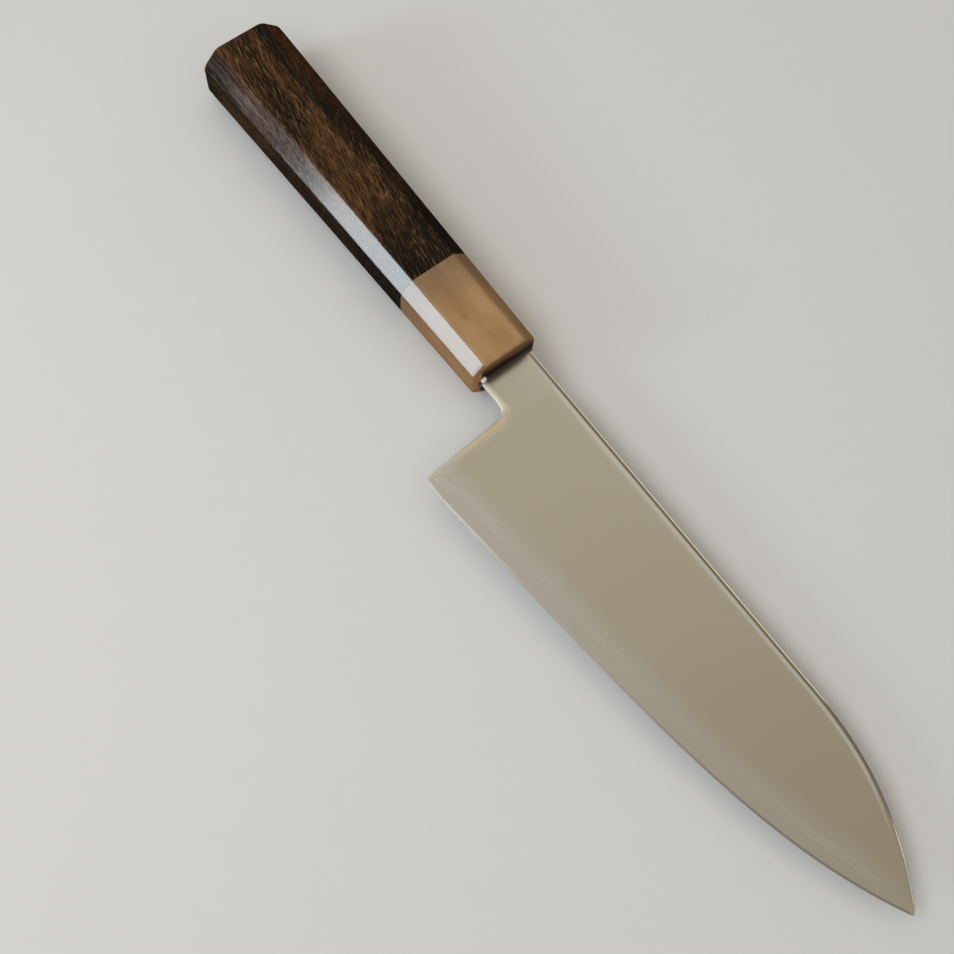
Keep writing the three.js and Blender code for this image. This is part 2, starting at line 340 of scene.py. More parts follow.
def side_point(column, row):
    """Point of the blade's right side. Row 0 is the outline and the last row the top of the spine."""
    if row <= EASE_ROWS:
        return low_point(column, row)
    x = column.spine_x
    crown = crown_height(x)
    if row <= EASE_ROWS + FACE_ROWS:
        crown_foot = Vector((x, spine_y(x) - crown, 0.0))
        at = between(low_point(column, EASE_ROWS), crown_foot, (row - EASE_ROWS) / FACE_ROWS)
        return Vector((at.x, at.y, ground_half(at.x, at.y)))
    turn = math.pi / 2 * (row - EASE_ROWS - FACE_ROWS) / CROWN_ROWS
    y = spine_y(x) - crown * (1 - math.sin(turn))
    half = spine_half(x) * math.cos(turn) if row < LAST_ROW else 0.0
    return Vector((x, y, half))


def blade_and_tang():
    """The blade with its tang, as one closed mesh."""
    columns = blade_columns()
    across = len(columns) - 1
    bm = bmesh.new()
    bmesh.ops.create_grid(bm, x_segments=across, y_segments=LAST_ROW, size=0.5)
    shoulder = set()
    nose_end = []
    # The grid's places, from -0.5 to 0.5, count its columns and rows.
    for vert in bm.verts:
        index = round((vert.co.x + 0.5) * across)
        row = round((vert.co.y + 0.5) * LAST_ROW)
        vert.co = side_point(columns[index], row)
        if row == BEVEL_ROWS and not columns[index].inward:
            shoulder.add(vert)
        if index == across:
            nose_end.append(vert)
    for edge in bm.edges:
        if shoulder.issuperset(edge.verts):
            edge.smooth = False
    tip = Vector((TIP_X, edge_y(TIP_X), 0.0))
    bmesh.ops.pointmerge(bm, verts=nose_end, merge_co=tip)
    bmesh.ops.mirror(bm, geom=whole(bm), axis="Z", merge_dist=MERGE_DISTANCE)
    bmesh.ops.edgeloop_fill(bm, edges=open_edges(bm))
    add_tang(bm)
    bmesh.ops.recalc_face_normals(bm, faces=bm.faces)
    return bm


def neck_end(bm):
    """Faces that close the blade's neck."""
    return [face for face in bm.faces if max(vert.co.x for vert in face.verts) < MERGE_DISTANCE]


def add_tang(bm):
    """Draws the tang out of the middle of the neck's end."""
    for side in (-1, 1):
        cut = {part for face in neck_end(bm) for part in (face, *face.edges, *face.verts)}
        bmesh.ops.bisect_plane(
            bm,
            geom=list(cut),
            plane_co=(0.0, side * TANG_HEIGHT / 2, 0.0),
            plane_no=(0.0, 1.0, 0.0),
        )
    root = [face for face in neck_end(bm) if abs(face.calc_center_median().y) < TANG_HEIGHT / 2]
    tang = bmesh.ops.extrude_face_region(bm, geom=root)["geom"]
    for part in tang:
        if isinstance(part, bmesh.types.BMVert):
            part.co.x = -TANG_LENGTH
            part.co.y *= TANG_END_HEIGHT / TANG_HEIGHT
    bmesh.ops.delete(bm, geom=[face for face in root if face.is_valid], context="FACES_ONLY")


def blade_layer(blade, low, high):
    """The part of the blade between two planes parallel to its middle."""
    layer = blade.copy()
    for height, outwards in ((high, 1.0), (low, -1.0)):
        bmesh.ops.bisect_plane(
            layer,
            geom=whole(layer),
            plane_co=(0.0, 0.0, height),
            plane_no=(0.0, 0.0, outwards),
            clear_outer=True,
        )
        bmesh.ops.holes_fill(layer, edges=open_edges(layer), sides=0)
    return layer


# Handle


def eased_octagon(x, height, thickness, bevel, ease, middle_y=0.0):
    """Points of an eight-sided section across the handle's axis, with its corners eased.

    A point on the flat at each side of a corner keeps the shading of the flats even.
    """
    y = height / 2
    z = thickness / 2
    quarter = [(y, z - bevel), (y - bevel, z)]
    half = quarter + [(-b, a) for b, a in reversed(quarter)]
    corners = [Vector(corner) for corner in half + [(-b, -a) for b, a in half]]
    reach = SUPPORT_REACH * ease
    points = []
    for index, corner in enumerate(corners):
        to_last = corners[index - 1] - corner
        to_next = corners[(index + 1) % len(corners)] - corner
        back = to_last.normalized() * ease
        ahead = to_next.normalized() * ease
        bend = [corner + to_last.normalized() * min(reach, SUPPORT_LIMIT * to_last.length)]
        for step in range(CORNER_POINTS):
            share = step / (CORNER_POINTS - 1)
            bend.append(corner + back * (1 - share) ** 2 + ahead * share ** 2)
        bend.append(corner + to_next.normalized() * min(reach, SUPPORT_LIMIT * to_next.length))
        points += [Vector((x, middle_y + at.x, at.y)) for at in bend]
    return points


def handle_section(x, inset=0.0, ease=CORNER_EASE):
    """Section of the tapered handle. An inset moves its flats and its bevels in by as much."""
    towards_butt = -x / HANDLE_LENGTH
    return eased_octagon(
        x,
        between(FRONT_HEIGHT, BUTT_HEIGHT, towards_butt) - 2 * inset,
        between(FRONT_THICKNESS, BUTT_THICKNESS, towards_butt) - 2 * inset,
        between(FRONT_BEVEL, BUTT_BEVEL, towards_butt) - (2 - math.sqrt(2)) * inset,
        ease,
    )


def rounded_end(end_x, radius, outwards, end_ease):
    """Sections of a quarter-round edge, from the side of the handle to its end face."""
    sections = [handle_section(end_x - outwards * EASE_REACH * radius)]
    for step in range(ROUND_STEPS + 1):
        turn = math.pi / 2 * step / ROUND_STEPS
        back = radius * (1 - math.sin(turn))
        ease = between(CORNER_EASE, end_ease, (step + 1) / (ROUND_STEPS + 1))
        sections.append(handle_section(end_x - outwards * back, radius * (1 - math.cos(turn)), ease))
    return sections


def round_section(x, diameter):
    """A round section with as many points as the handle's sections."""
    points = []
    for point in handle_section(x):
        spoke = Vector((0.0, point.y, point.z)).normalized() * diameter / 2
        points.append(Vector((x, spoke.y, spoke.z)))
    return points


def slot_section(x):
    """Section of the slot that the tang sits in."""
    taper = (TANG_HEIGHT - TANG_END_HEIGHT) / TANG_LENGTH
    height = TANG_HEIGHT + taper * x + 2 * TANG_ROOM
    return eased_octagon(x, height, SPINE_THICKNESS + 2 * TANG_ROOM, SLOT_BEVEL, SLOT_EASE)


def loft(sections):
    """Faces through a row of closed sections with equal numbers of points, open at both ends."""
    bm = bmesh.new()
    order = bm.verts.layers.int.new("order")
    verts = bmesh.ops.create_circle(bm, segments=len(sections[0]), radius=1.0)["verts"]
    for index, vert in enumerate(verts):
        vert[order] = index
        vert.co = sections[0][index]
    ring = bm.edges[:]
    for section in sections[1:]:
        grown = bmesh.ops.extrude_edge_only(bm, edges=ring)["geom"]
        verts = {part for part in grown if isinstance(part, bmesh.types.BMVert)}
        for vert in verts:
            vert.co = section[vert[order]]
        edges = [part for part in grown if isinstance(part, bmesh.types.BMEdge)]
        ring = [edge for edge in edges if verts.issuperset(edge.verts)]
    return bm


def handle_body():
    """The wood with its tenon, its tang slot and its rounded butt."""
    tenon_end = -FERRULE_LENGTH + TENON_LENGTH
    slot_end = -TANG_LENGTH - TANG_ROOM
    bm = loft([
        slot_section(slot_end),
        slot_section(tenon_end),
        round_section(tenon_end, TENON_DIAMETER),
        round_section(-FERRULE_LENGTH, TENON_DIAMETER),
        handle_section(-FERRULE_LENGTH),
        *rounded_end(-HANDLE_LENGTH, BUTT_ROUND, -1, BUTT_EASE),
    ])
    ends = bmesh.ops.holes_fill(bm, edges=open_edges(bm), sides=0)["faces"]
    butt = min(ends, key=lambda face: face.calc_center_median().x)
    bmesh.ops.inset_individual(bm, faces=[butt], thickness=END_INSET, use_even_offset=True)
    return bm


def ferrule():
    """The ferrule with its bore and its mouth."""
    bore = TENON_DIAMETER + 2 * TENON_GAP
    bore_end = -FERRULE_LENGTH + TENON_LENGTH + TENON_GAP
    bm = loft([
        slot_section(0.0),
        *reversed(rounded_end(0.0, FRONT_ROUND, 1, CORNER_EASE)),
        handle_section(-FERRULE_LENGTH),
        round_section(-FERRULE_LENGTH, bore),
        round_section(bore_end, bore),
        slot_section(bore_end),
    ])
    bmesh.ops.bridge_loops(bm, edges=open_edges(bm))
    return bm


def mouth_seal():
    """Soft-edged bead of sealant round the neck, on the ferrule's front face."""
    middle_y = (SPINE_ABOVE_AXIS - NECK_BELOW_AXIS) / 2
    neck_height = SPINE_ABOVE_AXIS + NECK_BELOW_AXIS

    def ring(x, grow):
        return eased_octagon(
            x,
            neck_height + 2 * grow,
            SPINE_THICKNESS + 2 * grow,
            SEAL_WIDTH,
            SEAL_GAP,
            middle_y,
        )

    sections = [ring(0.0, SEAL_GAP)]
    for step in range(ROUND_STEPS + 1):
        turn = math.pi / 2 * step / ROUND_STEPS
        grow = SEAL_GAP + SEAL_WIDTH * math.cos(turn)
        sections.append(ring(SEAL_HEIGHT * math.sin(turn), grow))
    bm = loft(sections)
    bmesh.ops.bridge_loops(bm, edges=open_edges(bm))
    add_drop(bm)
    return bm


def add_drop(bm):
    """A drop of sealant over the bead, cut flat where it sits on the ferrule's front face."""
    bead = set(whole(bm))
    bmesh.ops.create_uvsphere(
        bm,
        u_segments=DROP_STEPS,
        v_segments=DROP_STEPS // 2,
        radius=1.0,
        matrix=Matrix.LocRotScale(DROP_AT, Matrix.Rotation(DROP_TILT, 3, "X"), DROP_HALVES),
    )
    drop = [part for part in whole(bm) if part not in bead]
    bmesh.ops.bisect_plane(
        bm,
        geom=drop,
        plane_co=(0.0, 0.0, 0.0),
        plane_no=(1.0, 0.0, 0.0),
        clear_inner=True,
    )
    bmesh.ops.holes_fill(bm, edges=open_edges(bm), sides=0)


# Materials

# How softly a look changes at the edges of the handle's flats
WALL_EDGE = 0.5           # above the edge of a side wall
FLAT_EDGE_IN = 0.1        # to the inside of the upper flat's edge
FLAT_EDGE_OUT = 0.4       # to the outside of it


def rgb(red, green, blue):
    return (red, green, blue, 1.0)


class Value:
    """A number, colour or vector that changes over a surface. Sums on numbers add Math nodes."""

    def __init__(self, nodes, socket):
        self.nodes = nodes
        self.socket = socket

    def maths(self, operation, first, second=0.0):
        return self.nodes.node("ShaderNodeMath", {"operation": operation}, {0: first, 1: second})

    def __add__(self, other):
        return self.maths("ADD", self, other)

    def __radd__(self, other):
        return self.maths("ADD", other, self)

    def __sub__(self, other):
        return self.maths("SUBTRACT", self, other)

    def __rsub__(self, other):
        return self.maths("SUBTRACT", other, self)

    def __mul__(self, other):
        return self.maths("MULTIPLY", self, other)

    def __rmul__(self, other):
        return self.maths("MULTIPLY", other, self)

    def __abs__(self):
        return self.maths("ABSOLUTE", self)

    def also(self, output):
        """Another output of the same node."""
        return Value(self.nodes, self.socket.node.outputs[output])


class Nodes:
    """A node tree that is built node by node."""

    def __init__(self, tree):
        self.tree = tree

    def feed(self, node, sockets):
        for key, value in sockets.items():
            if isinstance(value, Value):
                self.tree.links.new(value.socket, node.inputs[key])
            else:
                node.inputs[key].default_value = value

    def node(self, kind, settings=None, sockets=None, output=0):
        """Adds a node: its settings first, then the values or links of its sockets."""
        made = self.tree.nodes.new(kind)
        for name, setting in (settings or {}).items():
            setattr(made, name, setting)
        self.feed(made, sockets or {})
        return Value(self, made.outputs[output])

    def split(self, vector):
        x = self.node("ShaderNodeSeparateXYZ", None, {0: vector})
        return x, x.also("Y"), x.also("Z")

    def step(self, value, low, high):
        """0 below low, 1 above high, and smooth between them."""
        return self.node("ShaderNodeMapRange", {"interpolation_type": "SMOOTHSTEP"}, {
            "Value": value,
            "From Min": low,
            "From Max": high,
        })

    def hump(self, value, low, high, soft):
        """1 between low and high, falling to 0 within soft on both sides."""
        return self.step(value, low - soft, low) * (1 - self.step(value, high, high + soft))

    def mix(self, share, first, second):
        """A mix of two colours. They are the node's sockets 6 and 7, and its output 2."""
        return self.node("ShaderNodeMix", {"data_type": "RGBA"}, {0: share, 6: first, 7: second}, 2)


class Finish(Nodes):
    """A procedural material, drawn in the knife's axes."""

    def __init__(self, name, sockets):
        self.material = bpy.data.materials.new(name)
        self.material.use_nodes = True
        super().__init__(self.material.node_tree)
        self.surface = self.tree.nodes["Principled BSDF"]
        self.feed(self.surface, sockets)

    def knife_axes(self, stretch=(1.0, 1.0, 1.0), turn=0.0):
        """Place on the knife in millimetres along its own axes, turned about Z, then times stretch."""
        place = self.node("ShaderNodeTexCoord", output="Object")
        along = self.node("ShaderNodeMapping", {"vector_type": "TEXTURE"}, {
            "Vector": place,
            "Location": SEAT.translation,
            "Rotation": (0.0, LEAN, 0.0),
            "Scale": (MM, MM, MM),
        })
        turned = self.node("ShaderNodeVectorRotate", {"rotation_type": "Z_AXIS"}, {
            "Vector": along,
            "Angle": turn,
        })
        return self.node("ShaderNodeVectorMath", {"operation": "MULTIPLY"}, {0: turned, 1: stretch})

    def noise(self, stretch, detail=2.0, roughness=0.5, turn=0.0, shift=(0.0, 0.0, 0.0)):
        """Noise from 0 to 1. Stretch is its grains per millimetre, and shift moves it, in grains."""
        place = self.knife_axes(stretch, turn)
        return self.node("ShaderNodeTexNoise", None, {
            "Vector": self.node("ShaderNodeVectorMath", {"operation": "ADD"}, {0: place, 1: shift}),
            "Scale": 1.0,
            "Detail": detail,
            "Roughness": roughness,
        })

    def facets(self, x, y, z):
        """Shares of the handle's upper left bevel, its upper right one, and all that lies below both."""
        towards_butt = x * (-1 / HANDLE_LENGTH)
        front_flat = FRONT_HEIGHT / 2 - FRONT_BEVEL
        front_wall = FRONT_THICKNESS / 2 - FRONT_BEVEL
        flat = towards_butt * (BUTT_HEIGHT / 2 - BUTT_BEVEL - front_flat) + front_flat
        wall = towards_butt * (BUTT_THICKNESS / 2 - BUTT_BEVEL - front_wall) + front_wall
        above = self.step(z - wall, 0.0, WALL_EDGE)
        left = (1 - self.step(y + flat, -FLAT_EDGE_OUT, FLAT_EDGE_IN)) * above
        right = self.step(y - flat, -FLAT_EDGE_IN, FLAT_EDGE_OUT) * above
        return left, right, 1 - above

    def dull(self, share, sockets):
        """Mixes in a surface without gloss, by share."""
        matt = self.node("ShaderNodeBsdfPrincipled", None, {"Specular IOR Level": 0.0, **sockets})
        glossy = Value(self, self.surface.outputs[0])
        mixed = self.node("ShaderNodeMixShader", None, {0: share, 1: glossy, 2: matt})
        self.feed(self.tree.nodes["Material Output"], {"Surface": mixed})

    def bump(self, height, distance):
        return self.node("ShaderNodeBump", None, {
            "Strength": 1.0,
            "Distance": distance * MM,
            "Height": height,
        })


# Steel. A pair ending in X or Y is where a change along the blade or across it starts and ends.
CLADDING_TONE = rgb(0.59, 0.555, 0.46)
CORE_TONE = rgb(0.62, 0.60, 0.54)
LAMINATE_TONE = rgb(0.61, 0.58, 0.51)
NEAR_EDGE_TONE = rgb(0.63, 0.62, 0.58)
CLOUD_TONE = rgb(0.52, 0.48, 0.41)
DARK_LINE_TONE = rgb(0.45, 0.44, 0.40)
PALE_LINE_TONE = rgb(0.86, 0.86, 0.83)
BEVEL_TONE = rgb(0.40, 0.385, 0.35)
HEEL_BEVEL_TONE = rgb(0.70, 0.70, 0.68)
LINE_GAPS = 3             # gaps between the laminate's lines
LINE_WAVE = 0.065         # depth in the steel that a line's long waves cover
LINE_RIPPLE = 0.032       # the same for its short waves
LINE_MARGIN = 0.2         # how far the lines reach past the laminate, in gaps
LINE_FADE = 0.3           # how far they fade from there, in gaps
PALE_LINE = (0.08, 0.24)  # fading of a pale line, from its middle, in gaps
DARK_LINE = (0.30, 0.46)  # start and full tone of the dark line between two pale ones, in gaps
LINE_PATCH = (0.46, 0.62)  # noise at which a patch of stronger lines starts and is full
HEEL_BEND = 0.07          # how far the lines dip towards the edge at the heel, as depth
HEEL_BEND_X = (15.0, 25.0)
HEEL_LINES_X = (35.0, 60.0)
NOSE_LINES_X = (125.0, 150.0)
LAST_LINES_X = (163.0, 172.0)
HIGHEST_LINES_Y = (0.0, 3.0)
NEAR_EDGE_DEPTH = 0.16    # how far past the laminate the paler steel fades out
BEVEL_END = 0.47          # depth at which the bevel's tone starts to fade, in shoulder thicknesses
HEEL_BEVEL_X = (18.0, 62.0)
NECK_SATIN_X = (9.0, 12.0)
NECK_SATIN_Y = (-8.2, -6.4)
MOUTH_SATIN_X = (1.0, 7.0)
HEEL_SATIN_X = (NECK_LENGTH - 0.5, NECK_LENGTH + 3.0)
POLISH_ROUGHNESS = 0.07


def laminate_lines(finish, x, y, depth):
    """Shares of the pale lines, and of the dark ones between them, where the grind cuts the laminate."""
    bend = 1 - finish.step(x, *HEEL_BEND_X)
    layer = (depth + bend * HEEL_BEND - CORE_HALF) * (LINE_GAPS / (LAMINATE_HALF - CORE_HALF))
    off_line = finish.node("ShaderNodeMath", {"operation": "PINGPONG"}, {0: layer, 1: 0.5})
    zone = finish.hump(layer, -LINE_MARGIN, LINE_GAPS + LINE_MARGIN, LINE_FADE)
    below_spine = 1 - finish.step(y, *HIGHEST_LINES_Y)
    short_of_tip = 1 - finish.step(x, *LAST_LINES_X)
    patch = finish.step(finish.noise((0.035, 0.06, 0.0)), *LINE_PATCH)
    at_heel = 1 - finish.step(x, *HEEL_LINES_X)
    at_nose = finish.step(x, *NOSE_LINES_X)
    strength = patch * 0.3 + at_heel * 0.45 + at_nose * 0.5 + 0.1
    shown = zone * below_spine * short_of_tip * strength
    pale = (1 - finish.step(off_line, *PALE_LINE)) * shown
    dark = finish.step(off_line, *DARK_LINE) * shown
    return pale, dark


def satin_share(finish, x, y):
    """How much rougher the steel is on the neck, at the ferrule's mouth and along the heel."""
    neck = (1 - finish.step(x, *NECK_SATIN_X)) * (1 - finish.step(y, *NECK_SATIN_Y))
    mouth = 1 - finish.step(x, *MOUTH_SATIN_X)
    from_heel = x + (y + NECK_BELOW_AXIS) * (HEEL_LEAN / (HEEL_BELOW_AXIS - NECK_BELOW_AXIS))
    heel = 1 - finish.step(from_heel, *HEEL_SATIN_X)
    return neck * 0.4 + mouth * 0.05 + heel * 0.1


def steel(name, tone):
    """Polished laminated steel, with the laminate's fine wavy lines and a honed cutting bevel."""
    finish = Finish(name, {"Metallic": 1.0})
    x, y, z = finish.split(finish.knife_axes())
    wave = finish.noise((0.07, 0.1, 0.0))
    ripple = finish.noise((0.22, 0.4, 0.0))
    cloud = finish.noise((0.012, 0.03, 0.0))
    polish = finish.noise((0.05, 3.0, 3.0), detail=3.0)
    depth = abs(z) + (wave - 0.5) * LINE_WAVE + (ripple - 0.5) * LINE_RIPPLE
    pale_line, dark_line = laminate_lines(finish, x, y, depth)
    near_edge = 1 - finish.step(depth, LAMINATE_HALF, LAMINATE_HALF + NEAR_EDGE_DEPTH)
    bevel = 1 - finish.step(abs(z), BEVEL_END * SHOULDER_THICKNESS, 0.5 * SHOULDER_THICKNESS)
    at_heel = 1 - finish.step(x, *HEEL_BEVEL_X)
    plain = finish.mix(near_edge, tone, NEAR_EDGE_TONE)
    clouded = finish.mix(cloud * 0.2, plain, CLOUD_TONE)
    darker = finish.mix(dark_line * 0.3, clouded, DARK_LINE_TONE)
    lined = finish.mix(pale_line * 0.6, darker, PALE_LINE_TONE)
    honed = finish.mix(at_heel, BEVEL_TONE, HEEL_BEVEL_TONE)
    satin = satin_share(finish, x, y)
    finish.feed(finish.surface, {
        "Base Color": finish.mix(bevel, lined, honed),
        "Roughness": polish * 0.05 + near_edge * 0.03 + bevel * 0.1 + satin + POLISH_ROUGHNESS,
    })
    return finish.material


# Horn
PALE_HORN = rgb(0.44, 0.265, 0.125)
TAN_HORN = rgb(0.33, 0.18, 0.075)
GREY_HORN = rgb(0.17, 0.11, 0.065)
SIDE_SHADE_HORN = rgb(0.14, 0.065, 0.025)
LEFT_BEVEL_SHADE_HORN = rgb(0.06, 0.05, 0.045)
FRONT_SHADE_HORN = rgb(0.12, 0.055, 0.025)
AMBER_GLOW_HORN = rgb(0.50, 0.22, 0.07)
BURNT_AND_SHADED_HORN = rgb(0.012, 0.007, 0.005)
NEAR_WOOD_X = (-FERRULE_LENGTH, -FERRULE_LENGTH / 2)
SPINE_SIDE_Y = (5.5, 9.5)
EDGE_SIDE_Y = (-8.5, -6.0)
FRONT_FACE_X = (-0.5, -0.05)
BURN_AND_SHADE_Z = (3.6, 7.6)       # fading of the burnt front and its painted slot shade, from the slot to each side
BURN_AND_SHADE_TAPER = 1.5          # how much narrower the burn and its painted shade are towards the spine
BURN_AND_SHADE_TAPER_Y = (-2.0, 6.0)
AMBER_GLOW_Y = (-8.9, -7.9)
HORN_RELIEF = 0.002


def horn():
    """Polished horn, greyer towards the wood, burnt dark round the mouth, with painted shade on both
    sides, on the upper left bevel, on the front face and in the slot, and a painted amber glow low on the
    front.
    """
    finish = Finish("knife_horn", {"Coat Roughness": 0.06, "IOR": 1.38})
    x, y, z = finish.split(finish.knife_axes())
    left, right, below = finish.facets(x, y, z)
    cloud = finish.noise((0.045, 0.13, 0.13), detail=3.0, roughness=0.6)
    streak = finish.noise((0.03, 0.8, 0.8), detail=4.0, roughness=0.6)
    fleck = finish.noise((0.9, 1.6, 1.6))
    near_wood = 1 - finish.step(x, *NEAR_WOOD_X)
    # Painted shade darkens the horn towards both sides.
    side = finish.step(y, *SPINE_SIDE_Y) * 0.5 + (1 - finish.step(y, *EDGE_SIDE_Y)) * 0.5
    front = finish.step(x, *FRONT_FACE_X)
    by_slot = 1 - finish.step(abs(z) + finish.step(y, *BURN_AND_SHADE_TAPER_Y) * BURN_AND_SHADE_TAPER, *BURN_AND_SHADE_Z)
    low_end = 1 - finish.step(y, *AMBER_GLOW_Y)
    # Burnt dark round the mouth, with painted shade of the slot's depth.
    burn_and_shade = front * by_slot * (1 - low_end)
    warm = finish.mix(finish.step(cloud, 0.3, 0.7), PALE_HORN, TAN_HORN)
    greyed = finish.mix(near_wood * (streak * 0.5 + 0.35), warm, GREY_HORN)
    side_shaded = finish.mix(side, greyed, SIDE_SHADE_HORN)
    # Painted shade on the upper left bevel, so that the lamp's highlight there reads white.
    left_bevel_shaded = finish.mix(left * 0.35, side_shaded, LEFT_BEVEL_SHADE_HORN)
    # Painted shade on the front face, which faces away from the light.
    front_shaded = finish.mix(front * 0.7, left_bevel_shaded, FRONT_SHADE_HORN)
    # A painted amber glow, as of light through the horn, at the low end of the front.
    amber_glow = finish.mix(front * low_end * 0.9, front_shaded, AMBER_GLOW_HORN)
    look = {
        "Base Color": finish.mix(burn_and_shade * 0.97, amber_glow, BURNT_AND_SHADED_HORN),
        "Normal": finish.bump(fleck + streak, HORN_RELIEF),
    }
    finish.feed(finish.surface, look)
    finish.feed(finish.surface, {
        "Roughness": streak * 0.08 + front * 0.3 + 0.1,
        "Coat Weight": (fleck * 0.1 + 0.05) * (1 - front),
    })
    finish.dull((1 - (1 - right) * (1 - below) * (1 - front)) * 0.75, look)
    return finish.material


# Wood
DARK_WOOD = rgb(0.015, 0.009, 0.005)
BROWN_WOOD = rgb(0.046, 0.023, 0.0093)
TAWNY_WOOD = rgb(0.104, 0.049, 0.0165)
DARKEST_TONE_AND_SHADE_WOOD = rgb(0.007, 0.0055, 0.0045)
RED_WOOD = rgb(0.062, 0.021, 0.006)
PAINTED_SHEEN_WOOD = rgb(0.14, 0.089, 0.077)
DARK_FIBRE_TONE = rgb(0.004, 0.003, 0.0025)
HAIR_TONE = rgb(0.085, 0.044, 0.018)
PALE_FIBRE_TONE = rgb(0.21, 0.13, 0.066)
GRAIN_TURN = math.radians(4)
PORE_TURN = math.radians(10)
GRAIN_SWAY = 3.0          # how far the grain wanders aside, in grains
BUTT_HALF_X = (-95.0, -65.0)
LAST_STRETCH_X = (-124.0, -106.0)
FERRULE_STRETCH_X = (-62.0, -42.0)
DARK_BAND_Y = (4.8, 7.6)
DARK_BAND_FADE = 0.8
WOOD_RELIEF = 0.01


def dark_wood():
    """Dark open-pored wood, its grain a little askew to the handle, with a painted sheen on its left
    bevel towards the butt and painted shade on its right bevel, its walls and the left bevel's end.
    """
    finish = Finish("knife_dark_wood", {"IOR": 1.42})
    x, y, z = finish.split(finish.knife_axes())
    left, right, below = finish.facets(x, y, z)
    at_butt = 1 - finish.step(x, *BUTT_HALF_X)
    at_ferrule = finish.step(x, *FERRULE_STRETCH_X)
    near_end = 1 - finish.step(x, *LAST_STRETCH_X)
    band = finish.hump(y, *DARK_BAND_Y, DARK_BAND_FADE) * at_butt

    sway = (finish.noise((0.05, 0.09, 0.09)) - 0.5) * GRAIN_SWAY
    curl = finish.node("ShaderNodeCombineXYZ", None, {"Y": sway, "Z": sway})
    grain = {"turn": GRAIN_TURN, "shift": curl}
    broad = finish.noise((0.02, 0.26, 0.26), detail=3.0, roughness=0.6, **grain)
    hair = finish.noise((0.12, 3.6, 3.6), detail=3.0, roughness=0.65, **grain)
    fibre = finish.noise((0.27, 2.5, 2.5), detail=3.0, roughness=0.65, turn=PORE_TURN, shift=curl)
    patch = finish.noise((0.025, 0.13, 0.13), turn=GRAIN_TURN)
    crowd = finish.noise((0.05, 0.28, 0.28), turn=GRAIN_TURN)
    sheen = finish.step(finish.noise((0.015, 0.8, 0.8), detail=3.0, shift=curl), 0.46, 0.6)
    pale_fibre = finish.step(fibre, 0.54, 0.66) * (finish.step(crowd, 0.38, 0.6) * 0.5 + 0.5)
    dark_fibre = 1 - finish.step(fibre, 0.39, 0.51)

    # Painted shade on the left bevel towards the butt, so that the sheen there reads grey.
    greyed = left * (near_end * 0.35 + at_butt * 0.4)
    # The dark band is the wood's own streak; the right bevel, the walls below and the left bevel's end
    # get painted shade.
    streak_and_shade = band * 0.85 + right * (1 - near_end) * 0.65 + below * 0.65 + greyed
    reddish = right * (near_end * 0.5 + at_butt * 0.2)
    # A painted sheen: greyish light in streaks on the left bevel towards the butt.
    painted_sheen = left * at_butt * (1 - near_end * 0.8) * (sheen * 0.55 + 0.3)
    pale = pale_fibre * (0.8 - at_ferrule * 0.25) * (1 - (band + right) * 0.6 - below * 0.75 - greyed)
    streaked = finish.mix(finish.step(broad, 0.40, 0.58), DARK_WOOD, BROWN_WOOD)
    figured = finish.mix(finish.step(patch, 0.46, 0.62) * 0.85, streaked, TAWNY_WOOD)
    darkened = finish.mix(streak_and_shade + at_ferrule * 0.84, figured, DARKEST_TONE_AND_SHADE_WOOD)
    warmed = finish.mix(reddish, darkened, RED_WOOD)
    hazed = finish.mix(painted_sheen, warmed, PAINTED_SHEEN_WOOD)
    fibred = finish.mix(dark_fibre * 0.85, hazed, DARK_FIBRE_TONE)
    haired = finish.mix(finish.step(hair, 0.52, 0.7) * 0.55, fibred, HAIR_TONE)
    look = {
        "Base Color": finish.mix(pale, haired, PALE_FIBRE_TONE),
        "Normal": finish.bump(fibre * (at_butt + 0.6), WOOD_RELIEF),
    }
    finish.feed(finish.surface, look)
    finish.feed(finish.surface, {"Roughness": fibre * 0.12 + sheen * at_butt * left * 0.28 + 0.07})
    finish.dull((right + below) * 0.12 + 0.85 - left * (0.85 - near_end * 0.5), look)
    return finish.material


# Resin and sealant
DARK_RESIN = rgb(0.26, 0.145, 0.06)
PALE_RESIN = rgb(0.34, 0.2, 0.09)
BLACK_SEALANT = rgb(0.012, 0.009, 0.008)
BROWN_SEALANT = rgb(0.03, 0.021, 0.015)
PAINTED_GLINT_SEALANT = rgb(0.78, 0.72, 0.70)
PAINTED_GLINT_REACH = (0.9, 1.3)  # fading of the painted glint, from the drop's middle


def resin():
    """Amber bedding resin."""
    finish = Finish("knife_resin", {"IOR": 1.5})
    cloud = finish.noise((0.3, 0.3, 0.3))
    finish.feed(finish.surface, {
        "Base Color": finish.mix(cloud, DARK_RESIN, PALE_RESIN),
        "Roughness": cloud * 0.15 + 0.3,
    })
    return finish.material


def sealant():
    """Glossy sealant, nearly black round the neck, with a pale painted glint on its drop."""
    finish = Finish("knife_sealant", {"IOR": 1.45})
    cloud = finish.noise((0.6, 0.6, 0.6))
    off_drop = finish.node(
        "ShaderNodeVectorMath",
        {"operation": "DISTANCE"},
        {0: finish.knife_axes(), 1: DROP_AT},
        "Value",
    )
    # Pale colour painted on the drop as a glint.
    painted_glint = 1 - finish.step(off_drop, *PAINTED_GLINT_REACH)
    black = finish.mix(cloud, BLACK_SEALANT, BROWN_SEALANT)
    finish.feed(finish.surface, {
        "Base Color": finish.mix(painted_glint, black, PAINTED_GLINT_SEALANT),
        "Roughness": cloud * 0.1 + 0.04,
    })
    return finish.material


# The knife

